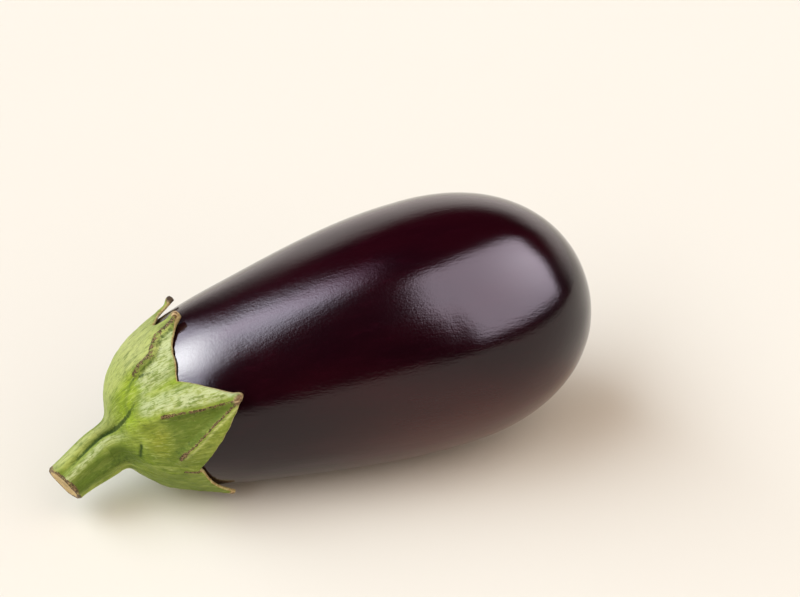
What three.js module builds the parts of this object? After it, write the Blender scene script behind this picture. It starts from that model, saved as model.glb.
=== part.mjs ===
// A whole eggplant lying on its side: the fruit, the leafy calyx that caps its shoulder, and the cut stem.
// Millimetres, +Z up. The origin is the middle of the small flat that the fruit rests on, under its weight.
// The fruit's own frame has x along its axis from the stem end to the blossom end. An angle goes round that
// axis from the front, which faces -Y, up over the top at 90 degrees. A reach is a distance along the skin
// from the stem end.

import * as THREE from 'three';

// The fruit
const FRUIT_LENGTH = 170;
const SHOULDER_RADIUS = 29.1;
const BELLY_RADIUS = 43.6;
const BELLY_AT = 0.647;
const SHOULDER_DOME = 0.269;
const BLOSSOM_DOME = 0.331;
const SHOULDER_SQUARENESS = 2.61;
const BLOSSOM_SQUARENESS = 2.16;
const ARCH = 1.2;
const LIE = 8.35;
const FLAT_DEPTH = 0.6;
const SCAR_RADIUS = 4.5;
const SCAR_DEPTH = 0.8;

// The stem: three points that shape its centre line in the fruit's frame, its radii, and the grooves down
// its side, each with its angle round the stem at the cut, how far it has turned by the neck, its depth and
// its half width in degrees
const STEM_ROOT = new THREE.Vector3(4.3, -3.7, -3.7);
const STEM_BEND = new THREE.Vector3(-4.7, -5, -4.9);
const STEM_CUT = new THREE.Vector3(-21.2, -10, -10);
const NECK_AT = 0.42;
const NECK_RADIUS = 9.2;
const CUT_RADIUS = 7.4;
const GROOVE_FADE = 0.6;
const STEM_GROOVES = [
  { angle: 60, turn: 15, depth: 2, width: 11 },
  { angle: 14, turn: 0, depth: 0.7, width: 12 },
  { angle: -26, turn: 0, depth: 0.8, width: 12 },
  { angle: -70, turn: 0, depth: 1.7, width: 28 },
  { angle: 112, turn: 6, depth: 1.1, width: 13 },
  { angle: 165, turn: 0, depth: 1.2, width: 14 },
  { angle: 222, turn: 0, depth: 1, width: 14 },
];
const CUT_BEVEL = 0.6;
// The cut slants: how far it leans off square, and the angle round the stem that it leans towards
const CUT_LEAN = 7;
const CUT_FACING = -10;

// The calyx: its lobes, each with the angle and reach of its tip, the angle of the stem's crest that it
// grows from, how far its dry tip lifts off the skin and how wide it stays towards the tip
const LOBES = [
  { angle: 28.6, reach: 59.2, crest: 46, lift: 1.2, fullness: 0.95 },
  { angle: 90, reach: 49.2, crest: 96, lift: 1.3, fullness: 0.42 },
  { angle: 126, reach: 50.3, crest: 138, lift: 1.9, fullness: 0.45 },
  { angle: 186, reach: 54, crest: 194, lift: 1.5, fullness: 0.7 },
  { angle: 246, reach: 50, crest: 258, lift: 0.6, fullness: 0.6 },
  { angle: 308, reach: 50.8, crest: 312, lift: 1.7, fullness: 0.6 },
];
// The notch before each lobe, with the angle of the stem's groove that its valley runs down from
const NOTCHES = [
  { angle: -14.6, reach: 39.3, groove: -26 },
  { angle: 48.7, reach: 39.9, groove: 75 },
  { angle: 103, reach: 38.9, groove: 118 },
  { angle: 156, reach: 38, groove: 165 },
  { angle: 217, reach: 39.5, groove: 222 },
  { angle: 276, reach: 38, groove: 288 },
];
// Folds in the calyx, standing up where the height is positive and sunk where it is negative. Each follows
// a path of angles and reaches from the edge towards the stem.
const FOLDS = [
  { path: [[28.6, 59.2], [28.5, 45.4], [31, 33], [28, 25], [26, 20]], height: 1.7, width: 8 },
  { path: [[28.6, 59.2], [15.8, 46.7], [-0.7, 35.2]], height: 1.2, width: 5.5 },
  { path: [[24, 50], [18, 41], [14, 31]], height: -0.6, width: 6 },
  { path: [[28.6, 59.2], [28.6, 56.4]], height: 0.8, width: 3.4 },
  { path: [[90, 49.2], [85.1, 38.1], [73.8, 34.2], [70.6, 26.9]], height: 1.6, width: 6.5 },
  { path: [[126, 50.3], [124, 26]], height: 0.3, width: 7 },
  { path: [[186, 54], [190, 27]], height: 1.3, width: 7 },
  { path: [[246, 50], [248, 27]], height: 0.9, width: 6 },
  { path: [[308, 50.8], [306, 28]], height: 0.5, width: 7 },
  { path: [[-15.6, 39.8], [-15, 34], [-7.3, 22]], height: 0.6, width: 4 },
  { path: [[48.7, 39.5], [48.6, 30], [56, 24], [40, 19.8], [37, 15.5]], height: -0.9, width: 6 },
  { path: [[66, 25.3], [56, 24]], height: -0.6, width: 5 },
];
const SKIN_GAP = 0.3;
const HUB_THICKNESS = 1.3;
const EDGE_THICKNESS = 1.2;
const LEAST_THICKNESS = 0.8;
const FILLET_REACH = 5.5;
const FILLET_FULLNESS = 0.45;
const TIP_SHARPNESS = 6;
const NOTCH_CROWDING = 1.4;
const TANGENT_SHARE = 0.05;

// Facets
const FRUIT_SIDES = 60;
const FRUIT_RINGS = 34;
const LOBE_COLUMNS = 16;
const FILLET_ROWS = 4;
const CAP_ROWS = 13;
const LINING_ROWS = 9;
const STEM_SIDES = 56;
const STEM_RINGS = 8;
const MERIDIAN_STEPS = 2400;
const SLOPE_SPAN = 0.5;

const radians = THREE.MathUtils.degToRad;
const clamp = THREE.MathUtils.clamp;
const mix = THREE.MathUtils.lerp;
const smooth = (t) => t * t * (3 - 2 * t);

// The outline of the fruit: a taper from shoulder to belly under a rounded dome at each end
function radiusAt(x) {
  const u = x / FRUIT_LENGTH;
  const body = mix(SHOULDER_RADIUS, BELLY_RADIUS, smooth(clamp(u / BELLY_AT, 0, 1)));
  const shoulder = dome(1 - u / SHOULDER_DOME, SHOULDER_SQUARENESS);
  const blossom = dome(1 - (1 - u) / BLOSSOM_DOME, BLOSSOM_SQUARENESS);
  return body * shoulder * blossom;
}

function dome(t, squareness) {
  return t <= 0 ? 1 : Math.max(0, 1 - t ** squareness) ** (1 / squareness);
}

function archAt(x) {
  return ARCH * (1 - (2 * x / FRUIT_LENGTH - 1) ** 2);
}

// The meridian as a table of stations, each with its reach
function traceMeridian() {
  const stations = [];
  let reach = 0;
  for (let i = 0; i <= MERIDIAN_STEPS; i++) {
    const x = FRUIT_LENGTH * (1 - Math.cos(Math.PI * i / MERIDIAN_STEPS)) / 2;
    const r = radiusAt(x);
    const before = stations[i - 1];
    if (before) reach += Math.hypot(x - before.x, r - before.r);
    stations.push({ reach, x, r });
  }
  return stations;
}
const MERIDIAN = traceMeridian();
const SKIN_LENGTH = MERIDIAN[MERIDIAN_STEPS].reach;

function stationAt(reach) {
  let low = 0;
  let high = MERIDIAN_STEPS;
  while (high - low > 1) {
    const middle = (low + high) >> 1;
    if (MERIDIAN[middle].reach <= reach) low = middle;
    else high = middle;
  }
  const a = MERIDIAN[low];
  const b = MERIDIAN[high];
  const t = clamp((reach - a.reach) / (b.reach - a.reach), 0, 1);
  return { x: mix(a.x, b.x, t), r: mix(a.r, b.r, t) };
}

// Unit vector square to the axis at an angle round it
function spoke(angle) {
  return new THREE.Vector3(0, -Math.cos(radians(angle)), Math.sin(radians(angle)));
}

// A point at a height over the skin
function overSkin(angle, reach, height) {
  const here = stationAt(reach);
  const ahead = stationAt(Math.min(reach + SLOPE_SPAN, SKIN_LENGTH));
  const behind = stationAt(Math.max(reach - SLOPE_SPAN, 0));
  const along = new THREE.Vector2(ahead.x - behind.x, ahead.r - behind.r).normalize();
  const point = spoke(angle).multiplyScalar(here.r + height * along.x);
  point.x = here.x - height * along.y;
  point.z += archAt(here.x);
  return point;
}

// Up in the fruit's frame, which leans back by its lie, and the flat that its lowest part is pressed onto
const UP = new THREE.Vector3(Math.sin(radians(LIE)), 0, Math.cos(radians(LIE)));

function lowestPoint() {
  const points = MERIDIAN.map((s) => new THREE.Vector3(s.x, 0, archAt(s.x) - s.r));
  return points.reduce((low, p) => (p.dot(UP) < low.dot(UP) ? p : low));
}
const REST_POINT = lowestPoint().addScaledVector(UP, FLAT_DEPTH);

function flattened(point) {
  return point.addScaledVector(UP, Math.max(0, REST_POINT.dot(UP) - point.dot(UP)));
}

// A closed solid from rings of points, with a point at each end
function solidFromRings(startPoint, rings, endPoint) {
  const sides = rings[0].length;
  const points = [startPoint, ...rings.flat(), endPoint];
  const last = points.length - 1;
  const at = (ring, side) => 1 + ring * sides + (side % sides);
  const index = [];
  for (let side = 0; side < sides; side++) {
    index.push(0, at(0, side), at(0, side + 1));
    for (let ring = 0; ring < rings.length - 1; ring++) {
      const a = at(ring, side);
      const b = at(ring, side + 1);
      const c = at(ring + 1, side + 1);
      const d = at(ring + 1, side);
      index.push(a, c, b, a, d, c);
    }
    index.push(last, at(rings.length - 1, side + 1), at(rings.length - 1, side));
  }
  const geometry = new THREE.BufferGeometry().setFromPoints(points);
  geometry.setIndex(index);
  geometry.computeVertexNormals();
  return geometry;
}

function anglesRound(sides) {
  return Array.from({ length: sides }, (_, side) => 360 * (side + 0.5) / sides);
}

// The fruit, with a shallow round scar in its blossom end where the flower fell off
function fruitGeometry() {
  const angles = anglesRound(FRUIT_SIDES);
  const rings = [];
  for (let i = 1; i < FRUIT_RINGS; i++) {
    const reach = Math.min(SKIN_LENGTH * i / FRUIT_RINGS, SKIN_LENGTH - SCAR_RADIUS);
    rings.push(angles.map((angle) => flattened(overSkin(angle, reach, 0))));
  }
  rings.push(angles.map((angle) => overSkin(angle, SKIN_LENGTH - SCAR_RADIUS, 0)));
  return solidFromRings(overSkin(0, 0, 0), rings, new THREE.Vector3(FRUIT_LENGTH - SCAR_DEPTH, 0, 0));
}

// The stem's centre line, and the radius of its grooved side at an angle and a share of the line's length
const STEM_LINE = new THREE.QuadraticBezierCurve3(STEM_ROOT, STEM_BEND, STEM_CUT);

function angleBetween(a, b) {
  return THREE.MathUtils.euclideanModulo(a - b + 180, 360) - 180;
}

// How far a place on the line is from the neck, 0, to the cut, 1
function outFromNeck(t) {
  return clamp((t - NECK_AT) / (1 - NECK_AT), 0, 1);
}

function stemRadius(angle, t) {
  const out = outFromNeck(t);
  let radius = mix(NECK_RADIUS, CUT_RADIUS, smooth(out));
  for (const groove of STEM_GROOVES) {
    const centre = groove.angle + groove.turn * (1 - out);
    const depth = groove.depth * (1 - GROOVE_FADE * out);
    radius -= depth * Math.exp(-((angleBetween(angle, centre) / groove.width) ** 2));
  }
  return radius;
}

function stemPoint(angle, t, share = 1) {
  const along = STEM_LINE.getTangent(t);
  const front = spoke(0).projectOnPlane(along).normalize();
  const top = new THREE.Vector3().crossVectors(along, front);
  const out = front.multiplyScalar(Math.cos(radians(angle))).addScaledVector(top, Math.sin(radians(angle)));
  const radius = stemRadius(angle, t) * share;
  const slant = -radius * Math.cos(radians(angle - CUT_FACING)) * Math.tan(radians(CUT_LEAN));
  const onSquareCut = STEM_LINE.getPoint(t).addScaledVector(out, radius);
  return onSquareCut.addScaledVector(along, slant * outFromNeck(t) ** 2);
}

// The skin laid out flat round the stem end, so that a straight line between two places runs along the skin
function laidOut(angle, reach) {
  return new THREE.Vector2(Math.cos(radians(angle)), Math.sin(radians(angle))).multiplyScalar(reach);
}

// The columns of the calyx: each starts at the stem's neck and ends on the edge of a lobe
function calyxColumns() {
  return LOBES.flatMap((lobe, i) => {
    const next = (i + 1) % NOTCHES.length;
    const turn = next === 0 ? 360 : 0;
    const before = NOTCHES[i];
    const { angle, reach, groove } = NOTCHES[next];
    const after = { angle: angle + turn, reach, groove: groove + turn };
    return Array.from({ length: LOBE_COLUMNS }, (_, k) => {
      const across = 2 * k / LOBE_COLUMNS;
      const notch = across <= 1 ? before : after;
      const t = 1 - Math.abs(1 - across) ** NOTCH_CROWDING;
      const rise = mix(t ** TIP_SHARPNESS, t, lobe.fullness);
      const stemAngle = mix(notch.groove, lobe.crest, t);
      const neck = stemPoint(stemAngle, NECK_AT);
      const neckAngle = THREE.MathUtils.radToDeg(Math.atan2(neck.z, -neck.y));
      const edgeAngle = mix(notch.angle, lobe.angle, t);
      const edgeReach = mix(notch.reach, lobe.reach, rise);
      const start = laidOut(neckAngle, Math.hypot(neck.y, neck.z));
      const end = laidOut(edgeAngle, edgeReach);
      return { stemAngle, start, end, lobe, notch, hubShare: FILLET_REACH / start.distanceTo(end) };
    });
  });
}

// How much the folds raise or sink the calyx at a place: each is a rounded ridge or trough along its path
function foldHeight(angle, reach) {
  const { r } = stationAt(reach);
  const here = new THREE.Vector3();
  let height = 0;
  for (const fold of FOLDS) {
    const [edgeAngle] = fold.path[0];
    const turn = angleBetween(edgeAngle, angle) - edgeAngle;
    const path = fold.path.map(([a, s]) => new THREE.Vector3(radians(a + turn) * r, s - reach, 0));
    let nearest = fold.width;
    for (let i = 1; i < path.length; i++) {
      const line = new THREE.Line3(path[i - 1], path[i]);
      nearest = Math.min(nearest, line.closestPointToPoint(here, true, new THREE.Vector3()).length());
    }
    height += fold.height * smooth(1 - nearest / fold.width);
  }
  return height;
}

// How far a lobe has lifted off the skin: its dry tip curls up
function liftAt(column, reach) {
  const t = clamp((reach - column.notch.reach) / (column.lobe.reach - column.notch.reach), 0, 1);
  return column.lobe.lift * t * t;
}

// A point of the calyx's outer face, from the neck, where share is 0, to its edge, where share is 1
function calyxOuter(column, share) {
  const place = column.start.clone().lerp(column.end, share);
  const angle = THREE.MathUtils.radToDeg(place.angle());
  const reach = place.length();
  const wanted = mix(HUB_THICKNESS, EDGE_THICKNESS, share) + foldHeight(angle, reach);
  const thickness = Math.max(LEAST_THICKNESS, wanted);
  return overSkin(angle, reach, SKIN_GAP + thickness + liftAt(column, reach));
}

// The fleshy fillet that carries the stem's crests and grooves out onto the calyx
function filletPoint(column, share) {
  const start = stemPoint(column.stemAngle, NECK_AT);
  const end = calyxOuter(column, column.hubShare);
  const inward = end.clone().sub(calyxOuter(column, column.hubShare + TANGENT_SHARE)).normalize();
  const alongStem = STEM_LINE.getTangent(NECK_AT).negate();
  const pull = start.distanceTo(end) * FILLET_FULLNESS;
  const curve = new THREE.CubicBezierCurve3(
    start,
    start.clone().addScaledVector(alongStem, pull),
    end.clone().addScaledVector(inward, pull),
    end,
  );
  return curve.getPoint(share);
}

// The calyx: its neck, fillet and lobes outside, then back inside along the skin to the stem end
function calyxGeometry() {
  const columns = calyxColumns();
  const rings = [];
  for (let i = 0; i < FILLET_ROWS; i++) {
    rings.push(columns.map((column) => filletPoint(column, i / FILLET_ROWS)));
  }
  for (let i = 0; i <= CAP_ROWS; i++) {
    rings.push(columns.map((column) => calyxOuter(column, mix(column.hubShare, 1, i / CAP_ROWS))));
  }
  for (let i = 0; i < LINING_ROWS; i++) {
    rings.push(columns.map((column) => {
      const place = column.end.clone().multiplyScalar(1 - i / LINING_ROWS);
      const reach = place.length();
      return overSkin(THREE.MathUtils.radToDeg(place.angle()), reach, SKIN_GAP + liftAt(column, reach));
    }));
  }
  return solidFromRings(STEM_LINE.getPoint(NECK_AT), rings, overSkin(0, 0, SKIN_GAP));
}

// The stem, from just off the calyx's neck to its bevelled cut end
function stemGeometry() {
  const angles = anglesRound(STEM_SIDES);
  const length = STEM_LINE.getLength();
  const first = NECK_AT + SKIN_GAP / length;
  const last = 1 - CUT_BEVEL / length;
  const rings = [angles.map((angle) => stemPoint(angle, 1, 1 - CUT_BEVEL / CUT_RADIUS))];
  for (let i = 0; i < STEM_RINGS; i++) {
    const t = mix(last, first, i / (STEM_RINGS - 1));
    rings.push(angles.map((angle) => stemPoint(angle, t)));
  }
  return solidFromRings(STEM_LINE.getPoint(1), rings, STEM_LINE.getPoint(first));
}

function part(name, geometry, look) {
  const mesh = new THREE.Mesh(geometry, new THREE.MeshStandardMaterial(look));
  mesh.name = name;
  return mesh;
}

// Everything is made in the fruit's frame and laid down together, with the rest point at the origin
const eggplant = new THREE.Group();
eggplant.rotation.y = -radians(LIE);
eggplant.position.copy(REST_POINT).applyEuler(eggplant.rotation).negate();
eggplant.add(
  part('fruit', fruitGeometry(), { color: 0x24101f, roughness: 0.22, metalness: 0 }),
  part('calyx', calyxGeometry(), { color: 0x8ea650, roughness: 0.65, metalness: 0 }),
  part('stem', stemGeometry(), { color: 0x86a04a, roughness: 0.65, metalness: 0 }),
);

export default eggplant;
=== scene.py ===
# Looks for a whole eggplant lying on its side: a glossy dark fruit, a fleshy green calyx and a
# ridged stem. Shapes are worked out in millimetres and degrees in the fruit's own frame, whose x
# runs along its axis from the stem end, then laid down into the shared frame in metres. An angle
# goes round that axis from the front, up over the top at 90, and a reach is a distance along the
# skin from the stem end.

import math

import bpy
import numpy as np
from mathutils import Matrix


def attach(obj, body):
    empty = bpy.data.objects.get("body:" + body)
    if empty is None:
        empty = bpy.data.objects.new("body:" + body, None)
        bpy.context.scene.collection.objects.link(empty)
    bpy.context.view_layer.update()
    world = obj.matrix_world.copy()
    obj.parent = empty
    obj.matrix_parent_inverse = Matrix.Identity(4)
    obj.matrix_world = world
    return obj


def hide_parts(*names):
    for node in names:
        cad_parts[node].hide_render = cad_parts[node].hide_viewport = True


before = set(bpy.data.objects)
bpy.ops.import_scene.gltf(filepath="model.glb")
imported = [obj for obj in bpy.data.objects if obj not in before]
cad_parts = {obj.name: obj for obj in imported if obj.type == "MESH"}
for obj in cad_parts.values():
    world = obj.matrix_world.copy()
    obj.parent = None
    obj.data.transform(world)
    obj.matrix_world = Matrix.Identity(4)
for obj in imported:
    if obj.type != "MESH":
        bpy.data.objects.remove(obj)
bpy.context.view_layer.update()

MM = 0.001

# The fruit's outline, as in the solid
FRUIT_LENGTH = 170
SHOULDER_RADIUS = 29.1
BELLY_RADIUS = 43.6
BELLY_AT = 0.647
SHOULDER_DOME = 0.269
BLOSSOM_DOME = 0.331
SHOULDER_SQUARENESS = 2.61
BLOSSOM_SQUARENESS = 2.16
ARCH = 1.2
LIE = 8.35
FLAT_DEPTH = 0.6
SCAR_RADIUS = 4.5
SCAR_DEPTH = 0.8

# The uneven skin lies a little inside the solid. Waves have a height, a size and a seed.
SKIN_SINK = 0.12
SKIN_WAVES = [(0.16, 17, 3), (0.07, 7, 5)]
WAVE_STRETCH = (0.35, 1, 1)
CALM_END = 14
SCAR_WAVES = [(0.25, 3, 9)]
CRUST_WAVES = [(0.22, 1.1, 11)]
CAP_SINK = 0.1

# The stem
STEM_ROOT = np.array([4.3, -3.7, -3.7])
STEM_BEND = np.array([-4.7, -5.0, -4.9])
STEM_CUT = np.array([-21.2, -10.0, -10.0])
STEM_LENGTH = 24
NECK_AT = 0.42
NECK_RADIUS = 9.2
CUT_RADIUS = 7.4
GROOVE_FADE = 0.6
# Grooves: angle, how far they turn towards the neck, depth and width
STEM_GROOVES = [
    (60, 15, 2.2, 9),
    (14, 0, 0.7, 12),
    (-26, 0, 0.8, 12),
    (-70, 0, 1.7, 28),
    (112, 6, 1.1, 13),
    (165, 0, 1.2, 14),
    (222, 0, 1.0, 14),
]
CUT_LEAN = 7
CUT_FACING = -10
CUT_BEVEL = 0.6
CUT_SINK = 0.1
CUT_DISH = 0.3
CUT_RIPPLE = 0.08
CUT_START = 0.04
BARK_FADE = 0.5
# Two smaller rings close the stem inside the calyx: place along it and share of its radius
STEM_PLUG = [(NECK_AT - 0.01, 0.97), (NECK_AT - 0.02, 0.9)]

# The calyx's lobes: angle, reach, crest, lift and fullness
LOBES = [
    (28.6, 59.2, 46, 1.2, 0.95),
    (90, 49.2, 96, 1.3, 0.42),
    (126, 50.3, 138, 1.9, 0.45),
    (186, 54, 194, 1.5, 0.7),
    (246, 50, 258, 0.6, 0.6),
    (308, 50.8, 312, 1.7, 0.6),
]
CURLED_LOBE = 2
# Its notches: angle, reach and groove
NOTCHES = [
    (-14.6, 39.3, -26),
    (48.7, 39.9, 75),
    (103, 38.9, 118),
    (156, 38, 165),
    (217, 39.5, 222),
    (276, 38, 288),
]
SKIN_GAP = 0.3
HUB_THICKNESS = 1.3
EDGE_THICKNESS = 1.2
LEAST_THICKNESS = 0.8
EDGE_THINNING = 0.4
EDGE_ROUNDING = 1.6
FILLET_REACH = 5.5
FILLET_FULLNESS = 0.45
TIP_SHARPNESS = 6
TIP_ROUNDING = 0.7
TIP_KNOBS = [1.7, 0.9, 1.0, 0.7, 0.7, 0.8]
KNOB_GIRTH = 38
NOTCH_CROWDING = 1.4
EDGE_WAVES = [(0.3, 4.1, 31), (0.15, 1.6, 32)]
PUCKER_WAVES = [(0.10, 2.3, 21), (0.07, 1.1, 22)]
PUCKER_SINK = 0.05
DENT_DEPTH = 0.25
DENT_WIDTH = 1.3
# Puckers point away from this place on the fruit's axis, and mostly across the axis
PUCKER_FROM = (32, 0, 0)
PUCKER_STRETCH = (0.6, 1, 1)
CALYX_GRAIN_RADIUS = 30

# Lines on the calyx, as places with angle and reach
KEEL_FRONT_UPPER = [(28.6, 59.2), (28.5, 45.4), (31, 33), (30.4, 28.2), (31.3, 23.7), (27.8, 20)]
KEEL_FRONT_LOWER = [(28.6, 59.2), (15.8, 46.7), (-0.7, 35.2)]
PANEL_MIDDLE = [(24, 50), (18, 41), (14, 31)]
TIP_ROLL = [(28.6, 58.6), (28.6, 57)]
TOP_ROLL = [(90, 48.4), (90, 47)]
CURLED_ROLL = [(126, 49.4), (126, 47.8)]
KEEL_TOP = [(90, 49.2), (85.1, 38.1), (73.8, 34.2), (70, 27)]
KEEL_CURLED = [(126, 50.3), (124, 26)]
KEEL_BACK = [(186, 54), (190, 27)]
KEEL_UNDER = [(246, 50), (248, 27)]
KEEL_LOW = [(308, 50.8), (306, 28)]
RIB_LOW = [(-15.6, 39.8), (-15, 34), (-17.6, 29.3), (-7.3, 22), (-2.5, 20.3)]
CREASE_TOP = [(48.7, 39.5), (48.6, 30), (58.2, 26.1), (66, 25.3)]
CREASE_MAIN = [(39.8, 19.8), (51.2, 19.8), (59, 22.2), (66.1, 25.3)]
CREASE_SHORT = [(9, 21.5), (-3, 20.3)]
CREASE_UPPER = [(66, 26.2), (61, 33.2)]
GROOVE_RUN = [(29.7, 11.8), (35, 16), (40, 19.9), (46, 23.4), (50, 27)]
CORK_PANEL = [(1.5, 36.4), (-2.5, 34.2)]
CORK_NOTCH = [(-15.6, 39.6), (-15.2, 34.5)]
SHADE_PANEL = [(9, 39), (4, 36), (3, 33)]
LIGHT_LOW = [(-14, 21), (-12, 27), (-15, 33)]
OLIVE_UPPER = [(26, 26), (8, 26)]
OLIVE_LOWER = [(16, 30), (4, 29)]

# Folds along those lines: height, and width on the side of larger angles and of smaller ones
FOLDS = [
    (KEEL_FRONT_UPPER, 1.7, 9, 3),
    (KEEL_FRONT_LOWER, 1.2, 2.6, 6),
    (PANEL_MIDDLE, -0.6, 6, 6),
    (TIP_ROLL, 2.4, 3.4, 3.4),
    (TOP_ROLL, 0.8, 2.2, 2.2),
    (CURLED_ROLL, 1.1, 2.2, 2.2),
    (KEEL_TOP, 1.6, 8, 3.2),
    (KEEL_CURLED, 0.3, 7, 7),
    (KEEL_BACK, 1.3, 7, 7),
    (KEEL_UNDER, 0.9, 6, 6),
    (KEEL_LOW, 0.5, 7, 7),
    (RIB_LOW, 0.6, 4, 4),
    (CREASE_TOP, -0.9, 5, 5),
    (CREASE_MAIN, -0.7, 4.5, 4.5),
]
HUB_FOLD_SHARE = 0.4
RUN_DEPTH = 0.7
RUN_WIDTH = 2.6

# Mesh fineness
FRUIT_SIDES = 288
FRUIT_RINGS = 230
LOBE_COLUMNS = 96
FILLET_ROWS = 22
CAP_ROWS = 92
LINING_ROWS = 12
STEM_SIDES = 240
STEM_RINGS = 90
CUT_RINGS = 16
MERIDIAN_POINTS = 4001
SLOPE_STEP = 0.5
FIBRE_STRETCH = 0.22

# Whole numbers that scramble a place into a pseudo-random number
CELL_PRIMES = (374761393, 668265263, 2147483647)
SCRAMBLE = 1274126177


def smooth(t):
    t = np.clip(t, 0, 1)
    return t * t * (3 - 2 * t)


def ramp(value, start, end):
    """0 where the value is at the start and 1 at the end, which may also be the smaller one."""
    return smooth((value - start) / (end - start))


def mix(a, b, t):
    return a + (b - a) * t


def turned_by(angle, centre):
    """The angle from a centre, from -180 to 180."""
    return (angle - centre + 180) % 360 - 180


def dome(t, squareness):
    return np.maximum(0, 1 - np.clip(t, 0, 1) ** squareness) ** (1 / squareness)


def radius_at(x):
    u = np.clip(x / FRUIT_LENGTH, 0, 1)
    body = mix(SHOULDER_RADIUS, BELLY_RADIUS, smooth(u / BELLY_AT))
    shoulder = dome(1 - u / SHOULDER_DOME, SHOULDER_SQUARENESS)
    blossom = dome(1 - (1 - u) / BLOSSOM_DOME, BLOSSOM_SQUARENESS)
    return body * shoulder * blossom


def arch_at(x):
    return ARCH * (1 - (2 * x / FRUIT_LENGTH - 1) ** 2)


MERIDIAN_X = FRUIT_LENGTH * (1 - np.cos(np.linspace(0, math.pi, MERIDIAN_POINTS))) / 2
MERIDIAN_R = radius_at(MERIDIAN_X)
MERIDIAN_STEPS = np.hypot(np.diff(MERIDIAN_X), np.diff(MERIDIAN_R))
MERIDIAN_REACH = np.concatenate([[0], np.cumsum(MERIDIAN_STEPS)])
SKIN_LENGTH = MERIDIAN_REACH[-1]


def meridian(reach):
    """How far along the axis and out from it the skin is at a reach."""
    x = np.interp(reach, MERIDIAN_REACH, MERIDIAN_X)
    return x, np.interp(reach, MERIDIAN_REACH, MERIDIAN_R)


def over_skin(angle, reach, height):
    """Points at a height over the skin, in the fruit's frame."""
    angle, reach, height = np.broadcast_arrays(np.radians(angle), reach, height)
    x, r = meridian(reach)
    ahead = meridian(np.minimum(reach + SLOPE_STEP, SKIN_LENGTH))
    behind = meridian(np.maximum(reach - SLOPE_STEP, 0))
    dx, dr = ahead[0] - behind[0], ahead[1] - behind[1]
    length = np.hypot(dx, dr)
    dx, dr = dx / length, dr / length
    out = r + height * dx
    return np.stack([x - height * dr, -out * np.cos(angle), out * np.sin(angle) + arch_at(x)], -1)


LEAN = math.radians(LIE)
UP = np.array([math.sin(LEAN), 0, math.cos(LEAN)])
BOTTOM = np.stack([MERIDIAN_X, 0 * MERIDIAN_X, arch_at(MERIDIAN_X) - MERIDIAN_R], -1)
REST_POINT = BOTTOM[np.argmin(BOTTOM @ UP)] + UP * FLAT_DEPTH


def laid_down(points):
    """From the fruit's frame in millimetres to the shared frame in metres."""
    x, y, z = np.moveaxis(np.asarray(points) - REST_POINT, -1, 0)
    c, s = math.cos(LEAN), math.sin(LEAN)
    return np.stack([c * x - s * z, y, np.maximum(0, s * x + c * z)], -1) * MM


def flattened(points):
    under = np.maximum(0, REST_POINT @ UP - points @ UP)
    return points + under[..., None] * UP


def lattice(cell, seed):
    """A steady pseudo-random number from 0 to 1 for each whole-number cell."""
    h = sum(cell[..., i] * prime for i, prime in enumerate(CELL_PRIMES)) + seed * SCRAMBLE
    h = (h ^ (h >> 13)) * SCRAMBLE & 0x7FFFFFFF
    h = (h ^ (h >> 16)) * CELL_PRIMES[1] & 0x7FFFFFFF
    return ((h ^ (h >> 15)) & 0xFFFFF) / 0xFFFFF


def bumps(points, size, seed):
    """Smooth noise from -1 to 1 with features of about the given size."""
    p = points / size
    cell = np.floor(p).astype(np.int64)
    f = smooth(p - cell)
    total = 0
    for corner in np.ndindex(2, 2, 2):
        weight = np.prod(np.where(corner, f, 1 - f), -1)
        total = total + weight * lattice(cell + np.array(corner), seed)
    return total * 2 - 1


def waves(points, sizes):
    return sum(height * bumps(points, size, seed) for height, size, seed in sizes)


def grain_field(radius, angle, along):
    """Where fibres are looked up: round the stem end in full, but drawn out along their length."""
    turn = np.radians(angle)
    return np.stack([radius * np.cos(turn), radius * np.sin(turn), FIBRE_STRETCH * along], -1) * MM


def mesh_object(name, rings, caps, masks, grain=None):
    """A closed skin from an array of rings of points, with one point at each end."""
    count, sides = rings.shape[:2]
    points = np.concatenate([[caps[0]], rings.reshape(-1, 3), [caps[1]]])
    side = np.arange(sides)
    after = (side + 1) % sides
    row = 1 + np.arange(count - 1)[:, None] * sides
    next_row = row + sides
    quads = np.stack([row + side, next_row + side, next_row + after, row + after], -1)
    last = len(points) - 1
    start = [(0, 1 + i, 1 + (i + 1) % sides) for i in range(sides)]
    end = [(last, last - sides + (i + 1) % sides, last - sides + i) for i in range(sides)]
    mesh = bpy.data.meshes.new(name)
    faces = quads.reshape(-1, 4).tolist() + start + end
    mesh.from_pydata(laid_down(points).tolist(), [], faces)
    mesh.shade_smooth()

    def on_points(values):
        first, final = values[0].mean(0), values[-1].mean(0)
        whole = np.concatenate([[first], values.reshape(-1, *values.shape[2:]), [final]])
        return whole.astype(np.float32).reshape(-1)

    for key, values in masks.items():
        attribute = mesh.attributes.new(key, "FLOAT", "POINT")
        attribute.data.foreach_set("value", on_points(values))
    if grain is not None:
        attribute = mesh.attributes.new("grain", "FLOAT_VECTOR", "POINT")
        attribute.data.foreach_set("vector", on_points(grain))
    mesh.update()
    piece = bpy.data.objects.new(name, mesh)
    bpy.context.scene.collection.objects.link(piece)
    return piece


# The fruit

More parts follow.
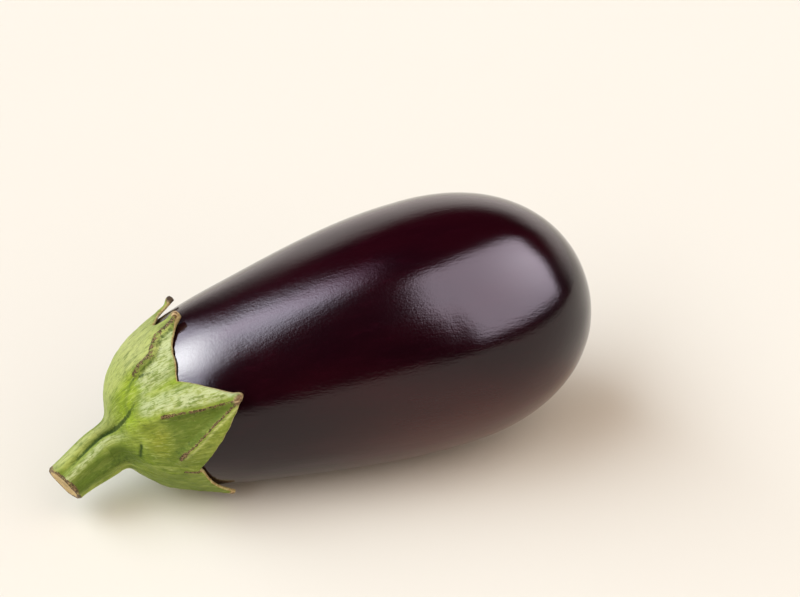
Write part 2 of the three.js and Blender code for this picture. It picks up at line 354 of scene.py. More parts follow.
def fruit_piece():
    sides = 360 * (np.arange(FRUIT_SIDES) + 0.5) / FRUIT_SIDES
    reach = np.linspace(0, SKIN_LENGTH, FRUIT_RINGS + 1)[1:-1]
    angle, reach = np.meshgrid(sides, reach)
    points = over_skin(angle, reach, 0)
    to_scar = SKIN_LENGTH - reach
    scar = smooth(1 - to_scar / (SCAR_RADIUS * (1 + waves(points, SCAR_WAVES))))
    uneven = waves(points * WAVE_STRETCH, SKIN_WAVES) - SKIN_SINK
    height = uneven * ramp(to_scar, 0, CALM_END) - SKIN_SINK
    height += (waves(points, CRUST_WAVES) - SCAR_DEPTH) * scar
    points = flattened(over_skin(angle, reach, height))
    low = laid_down(points)[..., 2] / MM
    # Browner towards the floor: a painted reflection of the warm floor in the skin
    floor_reflection_tint = ramp(low, 60, 0) * ramp(reach, 55, 145)
    caps = (over_skin(0, 0, -CAP_SINK), (FRUIT_LENGTH - SCAR_DEPTH - CAP_SINK, 0, 0))
    return mesh_object("fruit_skin", points, caps, {"scar": scar, "floor_reflection_tint": floor_reflection_tint})


# The stem

def stem_line(t):
    t = np.asarray(t, float)[..., None]
    return (1 - t) ** 2 * STEM_ROOT + 2 * t * (1 - t) * STEM_BEND + t * t * STEM_CUT


def stem_tangent(t):
    t = np.asarray(t, float)[..., None]
    d = 2 * (1 - t) * (STEM_BEND - STEM_ROOT) + 2 * t * (STEM_CUT - STEM_BEND)
    return d / np.linalg.norm(d, axis=-1, keepdims=True)


def from_neck(t):
    """The share of the way from the neck to the cut."""
    return np.clip((t - NECK_AT) / (1 - NECK_AT), 0, 1)


def stem_radius(angle, t):
    out = from_neck(t)
    radius = mix(NECK_RADIUS, CUT_RADIUS, smooth(out))
    for centre, turn, depth, width in STEM_GROOVES:
        away = turned_by(angle, centre + turn * (1 - out))
        radius = radius - depth * (1 - GROOVE_FADE * out) * np.exp(-((away / width) ** 2))
    return radius


def stem_point(angle, t, share=1.0):
    """Points on the stem, or at a share of its radius, with the rings leaning near the cut."""
    along = stem_tangent(t)
    front = np.array([0, -1, 0]) + along * along[..., 1:2]
    front /= np.linalg.norm(front, axis=-1, keepdims=True)
    top = np.cross(along, front)
    a = np.radians(angle)[..., None]
    out = front * np.cos(a) + top * np.sin(a)
    radius = stem_radius(angle, t) * share
    lean = math.tan(math.radians(CUT_LEAN)) * np.cos(np.radians(angle - CUT_FACING))
    slant = -radius * lean * from_neck(t) ** 2
    return stem_line(t) + out * radius[..., None] + along * slant[..., None]


# The calyx

def laid_out(angle, reach):
    """Places on the skin as points of a flat map, as far from its middle as they reach."""
    turn = np.radians(angle)
    return np.stack([np.cos(turn), np.sin(turn)], -1) * reach[..., None]


def on_skin(place):
    """The angles and reaches of points of the flat map."""
    x, y = np.moveaxis(place, -1, 0)
    return np.degrees(np.arctan2(y, x)), np.hypot(x, y)


COLUMN_VALUES = ("stem", "edge", "reach", "lobe_reach", "notch_reach", "lift", "tip", "lobe")


def calyx_columns():
    """Where each column of the calyx starts on the stem and ends at the edge, and its lobe."""
    columns = []
    for i, (angle, reach, crest, lift, fullness) in enumerate(LOBES):
        before = NOTCHES[i]
        after = NOTCHES[(i + 1) % len(NOTCHES)]
        turn = 360 if i == len(LOBES) - 1 else 0
        after = (after[0] + turn, after[1], after[2] + turn)
        knob = TIP_KNOBS[i]
        for k in range(LOBE_COLUMNS):
            across = 2 * k / LOBE_COLUMNS
            notch_angle, notch_reach, groove = before if across <= 1 else after
            t = 1 - abs(1 - across) ** NOTCH_CROWDING
            rise = mix(t**TIP_SHARPNESS, t, fullness)
            fall = math.hypot((reach - notch_reach) * (1 - rise), TIP_ROUNDING)
            aside = math.radians(abs(notch_angle - angle)) * (1 - t) * KNOB_GIRTH
            if aside < knob:
                fall = min(fall, TIP_ROUNDING + knob - math.sqrt(knob**2 - aside**2))
            ends = (mix(groove, crest, t), mix(notch_angle, angle, t), reach - fall)
            columns.append((*ends, reach, notch_reach, lift, t, i))
    return dict(zip(COLUMN_VALUES, np.array(columns, float).T))


COLUMNS = calyx_columns()
NECK = stem_point(COLUMNS["stem"], np.full(len(COLUMNS["stem"]), NECK_AT))
START = NECK[:, 1:] * (-1, 1)
EDGE_WALK = np.pad(laid_out(COLUMNS["edge"], COLUMNS["reach"]), ((0, 0), (0, 1)))
END = laid_out(COLUMNS["edge"], COLUMNS["reach"] + waves(EDGE_WALK, EDGE_WAVES))
SPAN = np.linalg.norm(END - START, axis=-1)
HUB_SHARE = FILLET_REACH / SPAN


def path_distance(path, angle, reach):
    """How far places on the skin are from a path, and 1 on the side of larger angles or -1."""
    _, r = meridian(reach)
    nearest = np.full(angle.shape, np.inf)
    side = np.zeros(angle.shape)
    turn = turned_by(path[0][0], angle) - path[0][0]
    for (a0, s0), (a1, s1) in zip(path, path[1:]):
        ax, bx = np.radians(a0 + turn) * r, np.radians(a1 + turn) * r
        ay, by = s0 - reach, s1 - reach
        dx, dy = bx - ax, by - ay
        t = np.clip(-(ax * dx + ay * dy) / (dx * dx + dy * dy), 0, 1)
        distance = np.hypot(ax + t * dx, ay + t * dy)
        closer = distance < nearest
        nearest = np.where(closer, distance, nearest)
        side = np.where(closer, np.sign(ax * dy - ay * dx), side)
    return nearest, np.where(side > 0, 1, -1)


def fold_height(angle, reach):
    """How far folds raise the calyx. They are evened out and lower near the hub."""
    hub = ramp(reach, 19, 30)
    height = np.zeros(angle.shape)
    for path, rise, above, below in FOLDS:
        distance, side = path_distance(path, angle, reach)
        width = mix((above + below) / 2, np.where(side > 0, above, below), hub)
        height += rise * mix(HUB_FOLD_SHARE, 1, hub) * smooth(1 - distance / width)
    run, _ = path_distance(GROOVE_RUN, angle, reach)
    return height - RUN_DEPTH * smooth(1 - run / RUN_WIDTH)


def calyx_lift(reach):
    past_notch = reach - COLUMNS["notch_reach"]
    t = np.clip(past_notch / (COLUMNS["lobe_reach"] - COLUMNS["notch_reach"]), 0, 1)
    return COLUMNS["lift"] * t * t


def calyx_outer(share):
    """Outer face of the calyx: share runs from the neck, 0, to the edge, 1, on each column."""
    angle, reach = on_skin(START + (END - START) * share[:, None])
    thickness = mix(HUB_THICKNESS, EDGE_THICKNESS, share) + fold_height(angle, reach)
    thickness = np.maximum(LEAST_THICKNESS, thickness)
    to_edge = SPAN * (1 - share)
    thickness = thickness * mix(EDGE_THINNING, 1, dome(1 - to_edge / EDGE_ROUNDING, 2))
    return over_skin(angle, reach, SKIN_GAP + thickness + calyx_lift(reach)), angle, reach


def round_stem(angle, centre, width):
    return smooth(1 - np.abs(turned_by(angle, centre)) / width)


def stem_masks(angle, out):
    """Where the stem is pale, or carries painted shade, a painted lit top and ridge, or painted
    shadow in its main groove; out is the share of the way to its cut.
    """
    main_angle, main_turn = STEM_GROOVES[0][:2]
    turned = main_turn * (1 - out)
    main = main_angle + turned
    pale = round_stem(angle, 39 + 0.9 * turned, 13)
    # Painted shade in the grooves, on the front face that turns down and underneath
    painted_shade = round_stem(angle, main, 12) * (1.3 - out)
    painted_shade += 1.8 * round_stem(angle, 6 + 0.6 * turned, 36) + 0.7 * round_stem(angle, -80, 40)
    # Painted light on the top of the stem and along a thin ridge
    painted_light = 1.2 * round_stem(angle, -42, 6) + 1.2 * round_stem(angle, 100, 34)
    # Painted shadow in the main groove and on the front face
    painted_shadow = round_stem(angle, main, 9) * smooth(1.25 - 1.1 * out)
    painted_shadow += round_stem(angle, 2, 34) * (0.5 - 0.3 * out)
    return {"pale": pale, "painted_shade": painted_shade, "painted_light": painted_light, "painted_shadow": painted_shadow}


def calyx_masks(angle, reach, to_edge, outside, rows):
    """Where the calyx has which look, with rows counted from the neck in heights of the fillet.

    Upper, lower and top are distances from three keels, above zero towards larger angles.
    """

    def near(path, width):
        return smooth(1 - path_distance(path, angle, reach)[0] / width)

    upper, lower, top = (
        np.prod(path_distance(path, angle, reach), axis=0)
        for path in (KEEL_FRONT_UPPER, KEEL_FRONT_LOWER, KEEL_TOP)
    )
    past_tip = reach - COLUMNS["lobe_reach"]
    from_below = (angle + 90) % 360
    keels = near(KEEL_BACK, 1.8) + near(KEEL_UNDER, 1.8) + near(KEEL_LOW, 1.8)

    # Corky brown on the narrow sides of the keels, and dry lobe tips
    wall_upper = ramp(upper, 0.2, -0.3) * ramp(upper, -1.7, -0.2) * ramp(reach, 30, 33)
    wall_lower = ramp(lower, -0.2, 0.2) * ramp(lower, 1.4, 0.1) * ramp(reach, 33, 35)
    wall_top = ramp(top, 0.2, -0.3) * ramp(top, -2.6, -0.4) * ramp(reach, 25, 27)
    corky = smooth(1 - np.hypot(upper + 0.6, (reach - 33.5) / 2) / 1.5)
    tip = ramp(COLUMNS["tip"], 0.72, 1) * ramp(past_tip, -6.5, -1.5)
    curled = tip * (COLUMNS["lobe"] == CURLED_LOBE)
    brown = 0.74 * wall_upper + 0.55 * corky + 0.85 * wall_lower + 0.72 * wall_top
    brown += near(CORK_PANEL, 1.3) + 1.1 * near(CORK_NOTCH, 0.9)
    brown += 0.3 * keels * ramp(reach, 40, 50) + 0.8 * curled
    char = curled * (0.42 + ramp(reach, 47, 49)) + 0.6 * tip * ramp(past_tip, -2, 0)

    # Pale hairs between the front keel and the top one
    pale_front = ramp(upper, 0.3, 1.8) * ramp(upper, 10, 4) * ramp(reach, 24, 28)
    pale_top = ramp(top, -2, -3.5) * ramp(top, -14, -6) * ramp(reach, 25, 29)
    pale = np.maximum(pale_front * ramp(angle, 58, 52), pale_top * ramp(angle, 47, 51))

    # Greens, with painted shade in the recessed panel, keel walls, creases and low side, painted
    # light on the top facets and ridge crests, and painted shadow in creases and beside the keels
    panel = ramp(upper, 0, -1.2) * ramp(lower, 0, 1.2) * ramp(reach, 29, 35)
    strip = ramp(lower, -0.6, -2.1) * ramp(lower, -10, -5) * ramp(reach, 34, 39)
    fresh = near(CREASE_MAIN, 5) + near(CREASE_TOP, 2.4) + 0.9 * near(KEEL_FRONT_UPPER[2:], 2.4)
    fresh += 0.6 * near(RIB_LOW, 2.5) + 0.35 * ramp(reach, 29, 20)
    olive = near(OLIVE_LOWER, 5) + 0.6 * near(OLIVE_UPPER, 4)
    # Painted shade on the low side, and in the recessed panel, on the keel wall and in creases
    low = ramp(from_below, 104, 82) * ramp(from_below, 20, 40)
    painted_shade = 0.85 * panel + 0.6 * wall_top + 0.55 * low * (1 - panel)
    painted_shade += near(CREASE_SHORT, 1.3) + 0.5 * near(CREASE_MAIN, 1.5)
    # Painted light: paler green on the top facets, along ridge crests and on a line low down
    painted_light = ramp(angle, 66, 78) * ramp(angle, 150, 130) * ramp(reach, 50, 30)
    painted_light += ramp(lower, -0.2, -0.7) * ramp(lower, -1.6, -0.7) * ramp(reach, 34, 37)
    painted_light += 0.5 * keels + 0.7 * near(KEEL_FRONT_UPPER[2:], 2) + 0.8 * near(LIGHT_LOW, 1.2)
    # Painted shadow in the bands beside the keels and in creases
    beside_top = ramp(top, -1.2, -2) * ramp(top, -4.6, -2) * ramp(reach, 27, 31)
    beside_top *= ramp(reach, 48.5, 44.5) * ramp(angle, 50, 56)
    beside_front = ramp(upper, 0, -1.2) * ramp(upper, -5, 0)
    beside_front *= ramp(reach, 33, 37) * ramp(reach, 54, 48)
    painted_shadow = near(CREASE_SHORT, 0.9) + 0.6 * beside_top + 0.35 * near(CREASE_MAIN[2:], 1.2)
    painted_shadow += 0.5 * beside_front + 0.4 * near(SHADE_PANEL, 2.6) + 0.5 * near(CREASE_UPPER, 1.2)

    # The stem's own looks run onto the calyx at the neck
    neck = ramp(rows, 1.5, 0) * outside
    masks = {"pale": pale, "painted_shade": painted_shade, "painted_light": painted_light, "painted_shadow": painted_shadow}
    for key, at_neck in stem_masks(COLUMNS["stem"], 0).items():
        masks[key] = mix(masks[key], at_neck, neck)
    # Painted shadow along the groove that runs from the stem onto the calyx
    run = mix(round_stem(COLUMNS["stem"], 75, 9), near(GROOVE_RUN, 1.4), ramp(rows, 0.8, 1.1))
    masks["painted_shadow"] = np.maximum(masks["painted_shadow"], run * outside * ramp(reach, 29, 17))
    masks |= {"fresh": fresh * (1 - neck), "olive": olive, "strip": strip, "brown": brown}
    masks |= {"dry": 0.85 * tip, "char": char, "rim": ramp(to_edge, 0.55, 0)}
    return {key: np.clip(value, 0, 1) for key, value in masks.items()}


def calyx_piece():
    """Rings run from the neck down the fillet, over the cap to the edge and back under it."""
    rows = []
    neck_line = -stem_tangent(NECK_AT)
    end, end_angle, end_reach = calyx_outer(HUB_SHARE)
    beyond, _, _ = calyx_outer(HUB_SHARE + 0.05)
    inward = (end - beyond) / np.linalg.norm(end - beyond, axis=-1, keepdims=True)
    pull = FILLET_FULLNESS * np.linalg.norm(end - NECK, axis=-1, keepdims=True)
    for i in range(FILLET_ROWS):
        t = i / FILLET_ROWS
        ring = (1 - t) ** 3 * NECK + 3 * (1 - t) ** 2 * t * (NECK + neck_line * pull)
        ring += 3 * (1 - t) * t * t * (end + inward * pull) + t**3 * end
        reach = mix(np.linalg.norm(START, axis=-1), end_reach, t)
        rows.append((ring, end_angle, reach, SPAN))
    for i in range(CAP_ROWS + 1):
        share = mix(HUB_SHARE, 1, i / CAP_ROWS)
        rows.append((*calyx_outer(share), SPAN * (1 - share)))
    outer_count = len(rows)
    for i in range(LINING_ROWS):
        angle, reach = on_skin(END * (1 - i / LINING_ROWS))
        ring = over_skin(angle, reach, SKIN_GAP + calyx_lift(reach))
        rows.append((ring, angle, reach, 0 * SPAN))
    rings, angle, reach, to_edge = (np.array(part) for part in zip(*rows))
    count = np.arange(len(rings))[:, None]
    outside = (count < outer_count) * np.ones(angle.shape)
    masks = calyx_masks(angle, reach, to_edge, outside, count / FILLET_ROWS)

    away = (rings - PUCKER_FROM) * PUCKER_STRETCH
    away /= np.linalg.norm(away, axis=-1, keepdims=True)
    dents = [path_distance(path, angle, reach)[0] for path in (CREASE_SHORT, CORK_PANEL)]
    dented = np.clip(sum(smooth(1 - distance / DENT_WIDTH) for distance in dents), 0, 1)
    pucker = waves(rings, PUCKER_WAVES) - PUCKER_SINK - DENT_DEPTH * dented
    rings = rings + away * (pucker * ramp(to_edge, 0, 1.5) * outside)[..., None]
    caps = (stem_line(NECK_AT), over_skin(0, 0, SKIN_GAP))
    grain = grain_field(CALYX_GRAIN_RADIUS, angle, reach)
    return mesh_object("calyx_leaf", rings, caps, masks, grain)


def stem_piece():
    """Rings run out over the cut, round its bevel and down to just under the neck."""
    angles = 360 * (np.arange(STEM_SIDES) + 0.5) / STEM_SIDES
    turn = np.radians(angles)
    facing = stem_tangent(1.0)
    stalk_length = STEM_LENGTH * (1 - NECK_AT)
    # How far down from the cut the bark begins to fade
    bark_edge = 0.05 + 0.25 * np.sin(3 * turn + math.radians(40)) + 0.18 * np.sin(7 * turn)
    full, none = np.ones(STEM_SIDES), np.zeros(STEM_SIDES)
    rows = []
    for share in np.linspace(CUT_START, 1, CUT_RINGS):
        ring = stem_point(angles, full, share * (1 - CUT_BEVEL / CUT_RADIUS))
        dish = CUT_RIPPLE * np.sin(5 * turn) * share - CUT_SINK - CUT_DISH * (1 - share**4)
        bark = full * ramp(share, 0.75, 1)
        rows.append((ring + facing * dish[:, None], full * share, full, bark))
    for i in range(STEM_RINGS):
        t = mix(1 - CUT_BEVEL / STEM_LENGTH, NECK_AT, i / (STEM_RINGS - 1))
        bark = ramp(i * stalk_length / STEM_RINGS - bark_edge, BARK_FADE, 0)
        rows.append((stem_point(angles, full * t), full * (1 - i / (STEM_RINGS - 1)), none, bark))
    for t, share in STEM_PLUG:
        rows.append((stem_point(angles, full * t, share), none, none, none))
    rings, out, cut, bark = (np.array(part) for part in zip(*rows))

    masks = {key: mask * (1 - cut) for key, mask in stem_masks(angles[None, :], out).items()}
    masks |= {"cut": cut, "bark": bark, "centre": cut * ramp(out, 0.45, 0)}
    masks = {key: np.clip(value, 0, 1) for key, value in masks.items()}
    caps = (stem_line(1.0) - facing * CUT_DISH, stem_line(STEM_PLUG[-1][0]))
    grain = grain_field(CUT_RADIUS, np.broadcast_to(angles, out.shape), out * stalk_length)
    return mesh_object("stem_stalk", rings, caps, masks, grain)


# Materials

BLACK = (0, 0, 0)


class Nodes:
    """Short names for building a node tree. Colours are given as three numbers."""

    def __init__(self, name, world=False):
        self.data = (bpy.data.worlds if world else bpy.data.materials).new(name)
        self.data.use_nodes = True
        self.tree = self.data.node_tree
        self.tree.nodes.clear()

    def add(self, kind, inputs=None, **settings):
        """A node whose inputs, by name or number, are set to a value or linked to a source."""
        node = self.tree.nodes.new(kind)
        for key, value in settings.items():
            setattr(node, key, value)
        for key, value in (inputs or {}).items():
            socket = node.inputs[key]
            if isinstance(value, bpy.types.NodeSocket):
                self.tree.links.new(value, socket)
            elif isinstance(value, bpy.types.Node):
                self.tree.links.new(value.outputs[0], socket)
            else:
                socket.default_value = (*value, 1) if socket.type == "RGBA" else value
        return node

    def math(self, operation, a, b):
        return self.add("ShaderNodeMath", {0: a, 1: b}, operation=operation).outputs[0]

    def blend(self, amount, a, b, how="MIX"):
        inputs = {0: amount, 6: a, 7: b}
        return self.add("ShaderNodeMix", inputs, data_type="RGBA", blend_type=how).outputs[2]

    def spread(self, value, low, high, to_low=0.0, to_high=1.0):
        inputs = dict(enumerate((value, low, high, to_low, to_high)))
        return self.add("ShaderNodeMapRange", inputs, interpolation_type="SMOOTHSTEP").outputs[0]

    def place(self, stretch=(1, 1, 1)):
        where = self.add("ShaderNodeTexCoord").outputs["Object"]
        inputs = {"Vector": where, "Rotation": (0, LEAN, 0), "Scale": stretch}
        return self.add("ShaderNodeMapping", inputs).outputs[0]

    def noise(self, where, scale, detail=3.0, roughness=0.55, distortion=0.0):
        inputs = {"Vector": where, "Scale": scale, "Detail": detail, "Roughness": roughness}
        return self.add("ShaderNodeTexNoise", inputs | {"Distortion": distortion}).outputs[0]

    def mask(self, name):
        return self.add("ShaderNodeAttribute", attribute_name=name).outputs["Fac"]

    def bump(self, height, distance):
        return self.add("ShaderNodeBump", {"Height": height, "Distance": distance}).outputs[0]

    def surface(self, inputs):
        """Ends the material with a principled shader."""
        self.add("ShaderNodeOutputMaterial", {0: self.add("ShaderNodeBsdfPrincipled", inputs)})
        return self.data


def skin_material():
    """Dark glossy purple with fine streaks, browner low down as a painted reflection of the warm
    floor, and a tan crust on the scar.
    """
    m = Nodes("eggplant_skin")
    even = m.place()
    broad = m.noise(m.place((0.35, 1, 1)), 30, 3)
    streak = m.noise(m.place((0.1, 1, 1)), 600, 4, 0.65)
    fibre = m.noise(m.place((0.35, 1, 1)), 1500, 3, 0.6)
    fine = m.noise(even, 1800, 2, 0.5)
    colour = m.blend(m.spread(broad, 0.35, 0.7), (0.0072, 0.0006, 0.0026), (0.0165, 0.0010, 0.0036))
    colour = m.blend(m.spread(streak, 0.5, 0.8, 0, 0.3), colour, (0.032, 0.0025, 0.009))
    # Painted reflection of the warm floor: browner low down
    floor_reflection_tint = m.math("MULTIPLY", m.mask("floor_reflection_tint"), m.spread(broad, 0.2, 0.8, 0.5, 1))
    colour = m.blend(floor_reflection_tint, colour, (0.09, 0.020, 0.012))
    crust = m.noise(even, 900, 5, 0.65)
    tan = m.blend(m.spread(crust, 0.35, 0.65), (0.10, 0.055, 0.03), (0.38, 0.26, 0.15))
    patchy = m.math("MULTIPLY", m.math("SUBTRACT", crust, 0.5), 0.7)
    scar = m.spread(m.math("ADD", m.mask("scar"), patchy), 0.25, 0.45)
    colour = m.blend(scar, colour, tan)
    height = m.math("ADD", m.math("MULTIPLY", fibre, 0.4), m.math("MULTIPLY", fine, 0.3))
    height = m.math("ADD", height, m.math("MULTIPLY", streak, 0.6))
    normal = m.bump(height, 0.00007)
    return m.surface({
        "Base Color": colour,
        "Roughness": m.spread(scar, 0, 1, 0.17, 0.8),
        "Specular IOR Level": 0.18,
        "Coat Weight": 0.34,
        "Coat Roughness": 0.05,
        "Coat IOR": 1.5,
        "Normal": normal,
        "Coat Normal": normal,
    })


def green_material(name):
    """Fleshy green with pale hairs, brown corky marks, dry tan tips and the wood of the cut, with
    painted shade, painted shadow and painted lit facets.
    """
    m = Nodes(name)
    even = m.place()
    along = m.add("ShaderNodeAttribute", attribute_name="grain").outputs["Vector"]
    broad = m.noise(even, 170, 3)
    blotch = m.noise(even, 420, 4, 0.65)
    fine = m.noise(even, 1000, 4, 0.65)
    speck = m.noise(even, 1500, 3, 0.6, 1.5)
    strand = m.noise(along, 1700, 3, 0.6, 0.5)
    vein = m.noise(along, 620, 4, 0.6, 0.3)

    def over(colour, mark, strength, shade):
        return m.blend(m.math("MULTIPLY", m.mask(mark), strength), colour, shade)

    def broken(mark, noise, amount, low, high, most):
        rough = m.math("MULTIPLY", m.math("SUBTRACT", noise, 0.5), amount)
        return m.spread(m.math("ADD", m.mask(mark), rough), low, high, 0, most)

    # Greens by place, with painted light on lit facets and painted shade in hollows and low down
    colour = m.blend(m.spread(broad, 0.35, 0.65), (0.20, 0.28, 0.032), (0.30, 0.37, 0.065))
    colour = over(colour, "painted_light", 0.85, (0.50, 0.55, 0.20))
    colour = over(colour, "fresh", 0.75, (0.27, 0.39, 0.008))
    colour = over(colour, "olive", 0.6, (0.22, 0.25, 0.012))
    colour = over(colour, "strip", 0.4, (0.30, 0.35, 0.05))
    colour = over(colour, "painted_shade", 0.9, (0.075, 0.125, 0.008))

    # Mottling, with dark and light fibres along the grain
    colour = m.blend(m.spread(vein, 0.46, 0.70, 0, 0.5), colour, (0.085, 0.14, 0.008))
    colour = m.blend(m.spread(blotch, 0.48, 0.72, 0, 0.5), colour, (0.07, 0.12, 0.008))
    colour = m.blend(m.spread(strand, 0.50, 0.66, 0, 0.38), colour, (0.06, 0.11, 0.007))
    # Light fibres show less where the painted shade lies
    plain = m.spread(m.mask("painted_shade"), 0.2, 0.9, 0.4, 0.12)
    light_vein = m.math("MULTIPLY", m.spread(vein, 0.46, 0.30), plain)
    colour = m.blend(light_vein, colour, (0.46, 0.53, 0.14))
    light_strand = m.math("MULTIPLY", m.spread(strand, 0.44, 0.30), plain)
    colour = m.blend(light_strand, colour, (0.50, 0.57, 0.20))

    # Pale felt, painted shadow in creases and beside keels, cork, dry tips, rim and char
    felt = m.math("ADD", m.math("MULTIPLY", strand, 0.6), m.math("MULTIPLY", blotch, 0.4))
    felt = m.spread(felt, 0.60, 0.42, 0.1, 0.85)
    colour = over(colour, "pale", felt, (0.50, 0.57, 0.31))
    colour = m.blend(broken("painted_shadow", fine, 1.4, 0.25, 0.85, 0.9), colour, (0.026, 0.058, 0.002))
    cork = m.blend(m.spread(speck, 0.45, 0.62), (0.03, 0.014, 0.006), (0.28, 0.165, 0.09))
    colour = m.blend(broken("brown", fine, 2.3, 0.4, 0.66, 0.9), colour, cork)
    dry = m.blend(m.spread(strand, 0.40, 0.62), (0.12, 0.065, 0.025), (0.56, 0.43, 0.24))
    colour = m.blend(broken("dry", blotch, 0.9, 0.45, 0.75, 1.0), colour, dry)
    edge = m.blend(m.spread(fine, 0.4, 0.6), (0.36, 0.24, 0.09), (0.58, 0.50, 0.24))
    colour = m.blend(broken("rim", blotch, 0.8, 0.4, 0.7, 0.85), colour, edge)
    colour = m.blend(broken("char", fine, 0.9, 0.35, 0.7, 0.9), colour, (0.022, 0.013, 0.008))

    # The wood of the cut and its bark
    wood = m.blend(m.spread(speck, 0.35, 0.65), (0.45, 0.32, 0.12), (0.68, 0.53, 0.25))
    wood = m.blend(m.spread(blotch, 0.45, 0.7, 0, 0.4), wood, (0.38, 0.25, 0.09))
    wood = over(wood, "centre", 0.5, (0.32, 0.26, 0.10))
    colour = m.blend(m.mask("cut"), colour, wood)
    colour = m.blend(broken("bark", fine, 3.0, 0.55, 0.8, 0.9), colour, cork)

    relief = m.math("ADD", m.math("MULTIPLY", blotch, 0.5), m.math("MULTIPLY", strand, 0.35))
    relief = m.math("ADD", relief, m.math("MULTIPLY", vein, 0.5))
    return m.surface({
        "Base Color": colour,
        "Roughness": 0.6,
        "Specular IOR Level": 0.22,
        "Sheen Weight": 0.02,
        "Normal": m.bump(relief, 0.0008),
    })


def floor_material():
    m = Nodes("pale_floor")
    colour = m.blend(m.noise(m.place(), 3, 2), (0.795, 0.775, 0.72), (0.825, 0.805, 0.75))
    return m.surface({"Base Color": colour, "Roughness": 0.9, "Specular IOR Level": 0.1})


def dress(piece, node, material):
    piece.data.materials.append(material)
    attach(piece, "root")
    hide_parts(node)


dress(fruit_piece(), "fruit", skin_material())
dress(calyx_piece(), "calyx", green_material("calyx_flesh"))
dress(stem_piece(), "stem", green_material("stem_flesh"))

# Floor, camera and light

FLOOR_REACH = 4.0
corner_sides = [(-1, -1), (1, -1), (1, 1), (-1, 1)]
floor_corners = [(x * FLOOR_REACH, y * FLOOR_REACH, 0) for x, y in corner_sides]
floor_mesh = bpy.data.meshes.new("floor")
floor_mesh.from_pydata(floor_corners, [], [(0, 1, 2, 3)])
floor = bpy.data.objects.new("floor", floor_mesh)
bpy.context.scene.collection.objects.link(floor)
floor_mesh.materials.append(floor_material())

CAMERA_TARGET = np.array([23.49, 30.03, 37.56]) * MM
CAMERA_DISTANCE = 0.64165
CAMERA_TURN = math.radians(-18.945)
CAMERA_HEIGHT = math.radians(31)
LENS = 80
SENSOR_WIDTH = 36
backward = np.array([
    math.sin(CAMERA_TURN) * math.cos(CAMERA_HEIGHT),
    -math.cos(CAMERA_TURN) * math.cos(CAMERA_HEIGHT),
    math.sin(CAMERA_HEIGHT),
])
camera_data = bpy.data.cameras.new("camera")
camera_data.lens = LENS
camera_data.sensor_width = SENSOR_WIDTH
camera = bpy.data.objects.new("camera", camera_data)
camera.location = CAMERA_TARGET + backward * CAMERA_DISTANCE
camera.rotation_euler = (math.pi / 2 - CAMERA_HEIGHT, 0, CAMERA_TURN)
bpy.context.scene.collection.objects.link(camera)
bpy.context.scene.camera = camera

bpy.context.scene.view_settings.view_transform = "Standard"

# Soft-edged lights: the way each faces, and its sides with across, up, limit and edge
LONG_FACING = (-0.52, 0.08, 0.85)
BROAD_FACING = (0.42, -0.51, 0.75)
LONG_SIDES = [(-0.56, 1, 0.34, 0.13), (0.53, 1, 0.34, 0.13), (0, -1, 0.5, 0.15)]
LONG_MIDDLE = [(-1, 0, 0.27, 0.3), (1, 0, 0.36, 0.3), (0, 1, 0.03, 0.14), (0, -1, 0.3, 0.2)]
LONG_TOP = [(-1, 0, 0.25, 0.1), (1, 0, 0.05, 0.12), (0, -1, -0.1, 0.1), (0, 1, 0.42, 0.08)]
BROAD_SIDES = [
    (-1, 0, 0.47, 0.08),
    (1, 0, 1.02, 0.1),
    (0, -1, 0.75, 0.1),
    (0.23, 1, 0.6, 0.08),
    (-1, 0.545, 0.527, 0.09),
]
BROAD_MIDDLE = [(-1, 0, -0.2, 0.4), (1, 0, 0.95, 0.25), (0, -1, 0.35, 0.4), (0, 1, 0.3, 0.3)]


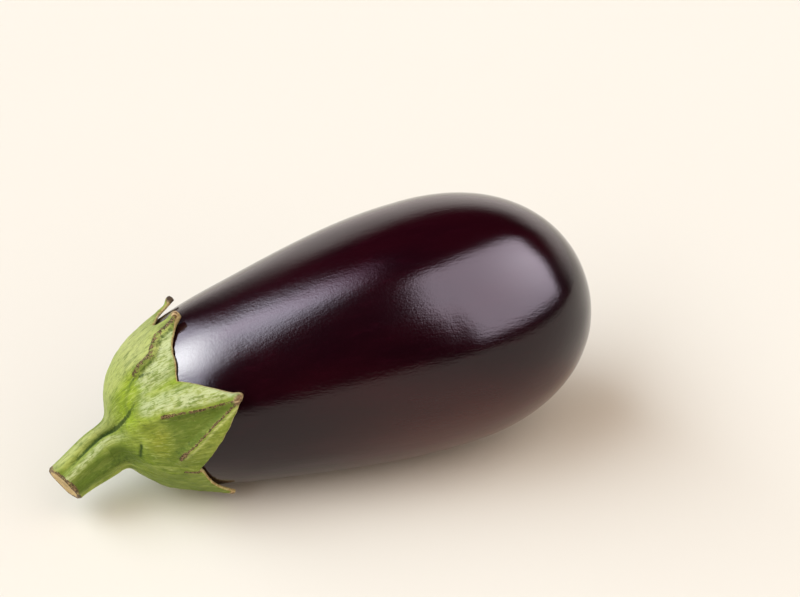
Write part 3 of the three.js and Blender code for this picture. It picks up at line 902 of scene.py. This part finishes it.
def studio_world():
    """A dark room with a long light over the stem end, a broad light in front and a pale backdrop.

    Glossy rays see those in full, other rays see softer ones, and the camera sees plain cream.
    """
    w = Nodes("studio", world=True)
    direction = w.add("ShaderNodeTexCoord").outputs["Generated"]

    def dot(vector):
        inputs = {0: direction, 1: tuple(vector)}
        return w.add("ShaderNodeVectorMath", inputs, operation="DOT_PRODUCT").outputs["Value"]

    def softbox(centre, sides):
        """How strongly a flat light with soft sides shines in each direction, from 0 to 1.

        Each side keeps what lies within its limit along a line across and up the light, and fades
        at its edge.
        """
        c = np.array(centre, float) / np.linalg.norm(centre)
        u = np.cross([0, 0, 1], c)
        u /= np.linalg.norm(u)
        v = np.cross(c, u)
        facing = dot(c)
        safe = w.math("MAXIMUM", facing, 0.05)
        shape = w.spread(facing, 0.05, 0.1)
        for across, up, limit, edge in sides:
            where = w.math("DIVIDE", dot(across * u + up * v), safe)
            shape = w.math("MULTIPLY", shape, w.spread(where, limit + edge, limit - edge))
        return shape

    def lit(start, lamps):
        """The start colour with each lamp's shape and colour added to it."""
        result = w.add("ShaderNodeRGB").outputs[0]
        result.default_value = (*start, 1)
        for shape, shade in lamps:
            result = w.blend(1.0, result, w.blend(shape, BLACK, shade), "ADD")
        return result

    long_light = softbox(LONG_FACING, LONG_SIDES)
    broad_light = softbox(BROAD_FACING, BROAD_SIDES)
    behind = w.spread(dot((-0.1, 0.99, 0)), -0.1, 0.35)
    low_band = w.spread(dot((0.35, 0, 1)), 0.68, 0.45)
    low_band = w.math("MULTIPLY", low_band, w.spread(dot((1, 0, 0)), -0.25, -0.03))
    before = w.spread(dot((-0.19, -0.92, 0.35)), -0.1, 0.9)
    gloss = lit((0.008, 0.006, 0.007), [
        (long_light, (8.8, 8.6, 10.4)),
        (softbox(LONG_FACING, LONG_MIDDLE), (24.6, 25.6, 25.4)),
        (softbox(LONG_FACING, LONG_TOP), (2.0, 1.1, 1.7)),
        (broad_light, (6.4, 5.5, 6.6)),
        (softbox(BROAD_FACING, BROAD_MIDDLE), (3.6, 3.3, 3.7)),
        (w.math("MULTIPLY", behind, low_band), (1.25, 1.13, 1.08)),
    ])
    soft = lit((0.16, 0.09, 0.07), [
        (long_light, (3.4, 3.78, 4.05)),
        (broad_light, (0.75, 0.81, 0.72)),
        (before, (0.72, 0.53, 0.38)),
    ])
    rays = w.add("ShaderNodeLightPath")
    seen = w.blend(rays.outputs["Is Camera Ray"], soft, (0.93, 0.9, 0.82))
    colour = w.blend(rays.outputs["Is Glossy Ray"], seen, gloss)
    w.add("ShaderNodeOutputWorld", {0: w.add("ShaderNodeBackground", {0: colour})})
    return w.data


bpy.context.scene.world = studio_world()
